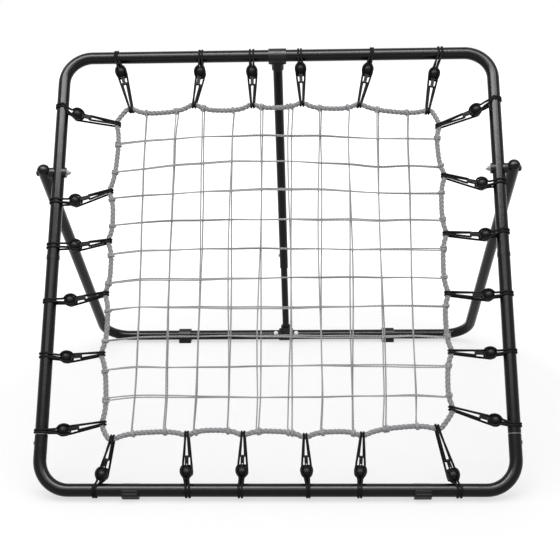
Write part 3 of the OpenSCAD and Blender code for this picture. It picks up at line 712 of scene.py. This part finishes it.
class REB_OT_rope(bpy.types.Operator):
    """Lay the net's border rope from three strands"""

    bl_idname = "reb.rope"
    bl_label = "Border rope"

    def execute(self, context):
        rope = settings("rope")
        course = rope_course()
        way, side, up = frames_along(course, closed=True)
        length = np.linalg.norm(course - np.roll(course, 1, axis=0), axis=1).sum()
        turns = round(length / rope.lay)
        strand_r = rope.diameter / 2 * STRAND_SHARE
        off = rope.diameter / 2 - strand_r
        shell = Shell()
        for k in range(STRANDS):
            phase = 2 * math.pi * (turns * np.arange(len(course)) / len(course) + k / STRANDS)
            strand = course + off * (side * np.cos(phase)[:, None] + up * np.sin(phase)[:, None])
            shell.sweep(to_world(strand), strand_r, 9, closed=True)
        piece = shell.make("border_rope", laid_rope())
        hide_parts("net_border_rope")
        return {"FINISHED"}


# ---- the net ----


def net_cross(i, j, layer, net):
    """Where net lines i and j cross in one layer: -1 front, 1 rear"""
    middle = (net.lines - 1) / 2
    drift = layer * net.drift / 4
    rise = net.rise * max(0, min(1, (j - middle) / RISE_LINES))
    rise *= max(0, 1 - ((i - middle + 0.5) / (middle - 0.5)) ** 2)
    # Upright lines drift apart most in the middle
    slack = 1.1 - ((i - middle - 0.5) / middle) ** 2
    # The angles step unevenly, so that neighbouring crossings don't stray alike
    apart_x = drift * max(0, slack) * (1 + math.sin(math.radians(97 * i + 37 * j)))
    apart_z = drift * LEVEL_DRIFT * (1 + math.cos(math.radians(83 * j + 31 * i)))
    wave_x = NET_WAVE * math.sin(math.radians(140 * i + 35 * j))
    wave_z = NET_WAVE * math.cos(math.radians(120 * j + 40 * i))
    return (NET_MIDDLE[0] + (i - middle) * net.pitch_across + apart_x + wave_x,
            NET_MIDDLE[1] + (j - middle) * net.pitch + rise + apart_z + wave_z)


def tie_to_rope(course, way, last, heading, out, reach, twine_r):
    """A line's end: on past its last crossing to the rope, and round it one and a half times"""
    heading = unit(heading)
    offset = course - last
    ahead = offset @ heading
    across = np.linalg.norm(offset * (1, 0, 1) - ahead[:, None] * heading, axis=1)
    across[(ahead < 0) | (ahead > TIE_REACH)] = 1.0
    nearest = int(np.argmin(across))
    centre, run = course[nearest], way[nearest]
    inward = unit(np.cross(run, FRONT_WAY))
    if inward @ heading > 0:
        inward = -inward
    points = []
    for turn in TIE_TURNS:
        angle = 2 * math.pi * turn
        spoke = inward * math.cos(angle) + out * FRONT_WAY * math.sin(angle)
        points.append(centre + spoke * reach + run * (turn - TIE_MIDDLE) * TIE_PITCH * twine_r)
    points.append(centre + (points[-1] - centre) * TIE_TUCK)
    return points


class REB_OT_net(bpy.types.Operator):
    """String the two layers of net twine across the border rope"""

    bl_idname = "reb.net"
    bl_label = "Net"

    def execute(self, context):
        net = settings("net")
        twine_r = net.diameter / 2
        course = rope_course()
        way = frames_along(course, closed=True)[0]
        reach = settings("rope").diameter / 2 + twine_r * 0.75
        material = twisted_twine()
        for layer, name in ((-1, "front"), (1, "rear")):
            shell = Shell()
            out = -layer
            for line in range(net.lines):
                for upright in (True, False):
                    crossings = []
                    for other in range(net.lines):
                        i, j = (line, other) if upright else (other, line)
                        x, z = net_cross(i, j, layer, net)
                        over = 1 if (i + j) % 2 == upright else -1
                        depth = layer * (2 * twine_r + TWINE_GAP)
                        depth += over * (twine_r + TWINE_GAP / 2)
                        crossings.append(np.array((x, depth, z)))
                    ahead = np.array((0, 0, 1.0) if upright else (1.0, 0, 0))
                    fall = np.array((0, 0, 0 if upright else -net.droop / DROOP_RUN))
                    first = tie_to_rope(course, way, crossings[0], fall - ahead, out, reach,
                                        twine_r)
                    last = tie_to_rope(course, way, crossings[-1], ahead, out, reach, twine_r)
                    path = smooth_path(first[::-1] + crossings + last, TWINE_STEP)
                    shell.sweep(to_world(path), twine_r, 8)
            piece = shell.make("net_twine_" + name, material)
            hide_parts("net_" + name + "_layer")
        return {"FINISHED"}


# ---- bungees and toggles ----


def bungee_axes(side, row):
    """The tube, ball and tip of one bungee on the leaning frame, with its directions"""
    start, along, inward = (np.array(v, float) for v in SIDES[side][:3])
    wrap, ball_a, ball_b, tip_a, tip_b = (v / 1000 for v in row)
    ball = start + along * ball_a + inward * ball_b
    tip = start + along * tip_a + inward * tip_b
    out = unit(tip - ball)
    wide = np.cross(FRONT_WAY, out)
    return start + along * wrap, ball, tip, along, inward, out, wide


def bungee_half(side, row, s, cord_r, past_ball, round_tube):
    """Half of a cord's centre line: from the crossbar round the rope, behind the ball, round
    the tube, and over the ball's shoulder to the hook behind the stem"""
    tube, ball, tip, along, inward, out, wide = bungee_axes(side, row)
    tube_wide = along * np.sign(wide @ along)
    beside = cord_r + STRAND_CLEAR
    rope_r = settings("rope").diameter / 2
    round_rope = rope_r + cord_r - ROPE_BITE

    def past(e, w, n):
        return ball + past_ball * unit(unit((e, w, n)) @ np.array((out, s * wide, FRONT_WAY)))

    def turned(centre, radius, a, aside):
        a = math.radians(a)
        return (centre + tube_wide * s * (beside + aside)
                + radius * (math.cos(a) * inward + math.sin(a) * FRONT_WAY))

    points = [ball + out * far + wide * s * BAR_ASIDE for far in BAR_LEAVE]
    points += [turned(tip, round_rope, a, cord_r * (ROPE_TURN[0] - a) / CREEP_TURN)
               for a in ROPE_TURN]
    aside = SIDE_PASS[side]
    points += [past(5, aside, -10.5), past(-5, aside - SIDE_DRAW, -12.3), past(*BEHIND_BALL)]
    # The wrap's own place, taken as an angle, makes the gap differ from cord to cord
    loose = WRAP_GAP * (1 + math.sin(row[0])) ** 2
    points += [turned(tube, round_tube, a, loose) for a in TUBE_TURN]
    return points + [past(*way) for way in OVER_BALL]


def bungee_path(side, row, cord_r, ball_r):
    """A cord's whole centre line, pushed clear of its ball and its tube"""
    tube, ball, _, along, _, out, _ = bungee_axes(side, row)
    round_tube = TUBE_R + cord_r + TUBE_CLEAR
    past_ball = ball_r + cord_r + BALL_CLEAR
    right, left = (bungee_half(side, row, s, cord_r, past_ball, round_tube) for s in (1, -1))
    path = smooth_path(right + left[-2::-1], CORD_STEP)
    # Three times over, because a push off the tube can bring the cord back to the ball
    for _ in range(3):
        spoke = path - ball
        far = np.linalg.norm(spoke, axis=1)
        near = (far < past_ball) & (spoke @ out < BALL_REACH)
        path[near] = ball + spoke[near] / far[near, None] * past_ball
        spoke = path - tube
        spoke -= np.outer(spoke @ along, along)
        far = np.linalg.norm(spoke, axis=1)
        near = far < round_tube
        path[near] += spoke[near] * (round_tube / far[near] - 1)[:, None]
    return path


def toggle_stem(width, depth, start, end, hole_r, hole_at):
    """A flat stem with rounded edges and a cord hole, as points and faces"""
    curve = bpy.data.curves.new("stem_outline", "CURVE")
    curve.dimensions = "2D"
    curve.fill_mode = "BOTH"
    # Rounding of the edges, run of the flare at the ball, and run from the hole to the waist
    edge, flare, eye = 0.0006, 0.005, 0.006
    curve.extrude = depth / 2 - edge
    curve.bevel_depth = edge
    curve.bevel_resolution = 2
    half = width / 2 - edge
    waist = half * 0.95
    outline = [(-half * 1.15, start), (half * 1.15, start), (half, start + flare),
               (waist, hole_at + eye), (half, end), (-half, end), (-waist, hole_at + eye),
               (-half, start + flare)]
    ring = [(math.cos(a) * hole_r, hole_at + math.sin(a) * hole_r)
            for a in np.linspace(0, 2 * math.pi, 24, endpoint=False)]
    for loop in (outline, ring):
        spline = curve.splines.new("POLY")
        spline.points.add(len(loop) - 1)
        for point, (x, z) in zip(spline.points, loop):
            point.co = (x, z, 0, 1)
        spline.use_cyclic_u = True
    holder = bpy.data.objects.new("stem_outline", curve)
    mesh = bpy.data.meshes.new_from_object(holder)
    points = [(v.co.x, v.co.z, v.co.y) for v in mesh.vertices]
    faces = [tuple(p.vertices)[::-1] for p in mesh.polygons]
    bpy.data.objects.remove(holder)
    bpy.data.curves.remove(curve)
    bpy.data.meshes.remove(mesh)
    return points, faces


def toggle_shell(ball_r):
    """A toggle up the Z axis: ball with its mould line, flat ribbed stem, crossbar"""
    shell = Shell()
    rings, mould_line, pole = 33, 0.00025, 0.0002
    turns = np.linspace(math.pi, 0, rings)
    heights = np.cos(turns) * ball_r
    radii = np.sin(turns) * ball_r
    radii[0] = radii[-1] = pole
    radii[rings // 2] += mould_line
    path = np.stack((np.zeros(rings), np.zeros(rings), heights), axis=1)
    shell.sweep(path, radii, 40)
    neck_r, neck_flare, sunk, neck_run = 0.0024, 0.0027, 0.0012, 0.0034
    neck = np.linspace(0, 1, 9)
    path = np.stack((np.zeros(9), np.zeros(9), ball_r - sunk + neck * neck_run), axis=1)
    shell.sweep(path, neck_r + neck_flare * (1 - neck) ** 2, 24)
    points, faces = toggle_stem(STEM_WIDTH, STEM_DEPTH, ball_r - 0.0015, STEM_END, HOLE_R,
                                HOLE_AT)
    shell.add(points, faces, [(0.0, 0.0)] * sum(len(f) for f in faces))
    # Two ribs along the stem's edges and a ridge up its middle, front and rear
    rib_aside, rib_out, rib_from, rib_r = 0.0031, 0.0024, 0.0125, 0.0007
    ridge_out, ridge_from, ridge_r = 0.0023, 0.0195, 0.0009
    for front in (-1, 1):
        for edge in (-1, 1):
            rib = np.array([(edge * rib_aside, front * rib_out, z)
                            for z in np.linspace(rib_from, STEM_END, 10)])
            shell.sweep(rib, rib_r, 10)
        ridge = np.array([(0, front * ridge_out, z)
                          for z in np.linspace(ridge_from, STEM_END, 8)])
        shell.sweep(ridge, ridge_r, 10)
    # The crossbar's round ends take up this share of its half length
    rounded = 0.28
    bar = np.linspace(-1, 1, 25)
    path = np.stack((bar * BAR_HALF, np.zeros(25), np.full(25, BAR_AT)), axis=1)
    ends = np.clip((1 - np.abs(bar)) / rounded, 0, 1)
    shell.sweep(path, BAR_R * np.sqrt(np.clip(1 - (1 - ends) ** 2, 0.02, 1)), 20)
    return shell


def pressed(points, tube, along):
    """Points near a tube, drawn in to it as a tight cord's flattened wrap is"""
    spoke = points - tube
    spoke -= np.outer(spoke @ along, along)
    far = np.linalg.norm(spoke, axis=1)
    clear = far - TUBE_R
    ease = np.clip((clear - WRAP_REACH) / WRAP_EASE, 0, 1)
    flat = WRAP_FLAT + (1 - WRAP_FLAT) * ease * ease * (3 - 2 * ease)
    return points + spoke * (clear * (flat - 1) / far)[:, None]


class REB_OT_bungees(bpy.types.Operator):
    """Loop the elastic cords round the rope, the tubes and the toggles"""

    bl_idname = "reb.bungees"
    bl_label = "Bungee cords"

    def execute(self, context):
        bungee = settings("bungee")
        material = braided_sleeve()
        for side, rows in BUNGEES.items():
            for k, row in enumerate(rows, 1):
                shell = Shell()
                tube, _, _, along, _, _, _ = bungee_axes(side, row)
                shell.sweep(bungee_path(side, row, bungee.diameter / 2, bungee.ball / 2),
                            bungee.diameter / 2, 12)
                shell.points = [to_world(pressed(shell.points[0], tube, along))]
                piece = shell.make(f"cord_{side}_{k}", material)
                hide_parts(f"bungee_{side}_{k}")
        return {"FINISHED"}


class REB_OT_toggles(bpy.types.Operator):
    """Set the ball toggles that hold the cords"""

    bl_idname = "reb.toggles"
    bl_label = "Toggles"

    def execute(self, context):
        bungee = settings("bungee")
        single = toggle_shell(bungee.ball / 2)
        material = moulded_plastic("toggle_plastic", bungee.toggle, 0.4, 0.08, 0.00003)
        for side, rows in BUNGEES.items():
            shell = Shell()
            for row in rows:
                _, ball, _, _, _, out, wide = bungee_axes(side, row)
                spots = to_world(np.array((ball, ball + wide, ball - FRONT_WAY, ball + out)))
                place = np.eye(4)
                place[:3, :3] = (spots[1:] - spots[0]).T
                place[:3, 3] = spots[0]
                shell.place(single, place)
            piece = shell.make("ball_toggles_" + side, material)
            piece.data.set_sharp_from_angle(angle=math.radians(40))
            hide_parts("toggles_" + side)
        return {"FINISHED"}


# ---- stage ----


def background_share(tree):
    """1 for rays that see the background: from the camera, off gloss or through glass"""
    rays = tree.nodes.new("ShaderNodeLightPath")
    total = rays.outputs["Is Camera Ray"]
    for name in ("Is Glossy Ray", "Is Transmission Ray"):
        most = tree.nodes.new("ShaderNodeMath")
        most.operation = "MAXIMUM"
        tree.links.new(total, most.inputs[0])
        tree.links.new(rays.outputs[name], most.inputs[1])
        total = most.outputs[0]
    return total


class REB_OT_stage(bpy.types.Operator):
    """Set the floor, the lights and the camera"""

    bl_idname = "reb.stage"
    bl_label = "Stage"

    def execute(self, context):
        stage = settings("stage")
        self.lay_floor(stage)
        self.light_world(stage)
        self.hang_lamps(stage)
        self.set_camera(context.scene)
        context.scene.view_settings.view_transform = "Standard"
        return {"FINISHED"}

    def lay_floor(self, stage):
        """A floor that glows to the background's white away from the part"""
        count = FLOOR_CELLS
        mesh = bpy.data.meshes.new("floor")
        at = np.linspace(-FLOOR_HALF, FLOOR_HALF, count + 1)
        points = [(x, y, 0.0) for y in at for x in at]
        faces = [(r * (count + 1) + c, r * (count + 1) + c + 1,
                  (r + 1) * (count + 1) + c + 1, (r + 1) * (count + 1) + c)
                 for r in range(count) for c in range(count)]
        mesh.from_pydata(points, [], faces)
        made = Finish("studio_floor", 0.75, specular=0.0)
        cloud = made.spread(made.noise(1.5, 3.0), 0.3, 0.7, 0.0, 1.0)
        made.set("Base Color", made.blend(cloud, shade(stage.floor, 0.99),
                                          shade(stage.floor, 1.01)))
        made.set("Normal", made.bump(made.noise(240.0, 2.0), 0.0002, 0.2))
        far = made.add("ShaderNodeVectorMath", Vector=made.place)
        far.operation = "LENGTH"
        glow = made.spread(far.outputs["Value"], *GLOW_AT, *GLOW)
        glow = made.math("MULTIPLY", glow, background_share(made.tree))
        made.set("Emission Color", (1, 1, 1, 1))
        made.set("Emission Strength", glow)
        mesh.materials.append(made.material)
        floor = bpy.data.objects.new("floor", mesh)
        bpy.context.scene.collection.objects.link(floor)

    def light_world(self, stage):
        """White all round: full strength where it is seen, the stage's fill as light"""
        world = bpy.data.worlds.new("studio")
        bpy.context.scene.world = world
        world.use_nodes = True
        tree = world.node_tree
        sky = tree.nodes["Background"]
        sky.inputs["Color"].default_value = (1, 1, 1, 1)
        level = tree.nodes.new("ShaderNodeMapRange")
        tree.links.new(background_share(tree), level.inputs[0])
        level.inputs[3].default_value = stage.fill
        level.inputs[4].default_value = 1.0
        tree.links.new(level.outputs[0], sky.inputs["Strength"])

    def hang_lamps(self, stage):
        """A soft lamp that lights, and panels that only glossy surfaces show"""
        for name, place, wide, deep, share in LAMPS:
            light = bpy.data.lights.new(name, "AREA")
            light.shape = "RECTANGLE"
            light.size = wide
            light.size_y = deep
            light.energy = (stage.softbox if name == "softbox" else stage.sheen) * share
            lamp = bpy.data.objects.new(name, light)
            lamp.location = place
            lamp.visible_camera = False
            lamp.visible_diffuse = name == "softbox"
            lamp.visible_glossy = name != "softbox"
            bpy.context.scene.collection.objects.link(lamp)

    def set_camera(self, scene):
        """A camera in front of the net, a little above its middle"""
        data = bpy.data.cameras.new("camera")
        data.sensor_width = 36
        data.lens = CAMERA_LENS
        camera = bpy.data.objects.new("camera", data)
        camera.location = CAMERA_PLACE
        turn = Euler((math.pi / 2 - CAMERA_DOWN, 0, CAMERA_LEFT), "XYZ").to_matrix()
        turn = turn @ Matrix.Rotation(CAMERA_ROLL, 3, "Z")
        camera.rotation_euler = turn.to_euler()
        scene.collection.objects.link(camera)
        scene.camera = camera


# ---- panel ----


OPERATORS = (REB_OT_stage, REB_OT_tubes, REB_OT_rope, REB_OT_net, REB_OT_toggles, REB_OT_bungees)
GROUPS = {
    "finish": REB_PG_finish, "rope": REB_PG_rope, "net": REB_PG_net,
    "bungee": REB_PG_bungee, "stage": REB_PG_stage,
}


class REB_PT_panel(bpy.types.Panel):
    """Sizes, colours and makers of the rebounder's pieces"""

    bl_idname = "REB_PT_panel"
    bl_label = "Rebounder"
    bl_space_type = "VIEW_3D"
    bl_region_type = "UI"
    bl_category = "Rebounder"

    def draw(self, context):
        layout = self.layout
        for name, group in GROUPS.items():
            box = layout.box()
            box.label(text=name.capitalize())
            for key in group.__annotations__:
                box.prop(getattr(context.scene, "reb_" + name), key)
        for operator in OPERATORS:
            layout.operator(operator.bl_idname)


def register():
    for cls in (*GROUPS.values(), *OPERATORS, REB_PT_panel):
        bpy.utils.register_class(cls)
    for name, group in GROUPS.items():
        setattr(bpy.types.Scene, "reb_" + name, PointerProperty(type=group))


def unregister():
    for name in GROUPS:
        delattr(bpy.types.Scene, "reb_" + name)
    for cls in reversed((*GROUPS.values(), *OPERATORS, REB_PT_panel)):
        bpy.utils.unregister_class(cls)


def main():
    register()
    bpy.ops.reb.stage()
    bpy.ops.reb.tubes()
    bpy.ops.reb.rope()
    bpy.ops.reb.net()
    bpy.ops.reb.toggles()
    bpy.ops.reb.bungees()
    bpy.context.view_layer.update()


if __name__ == "__main__":
    main()
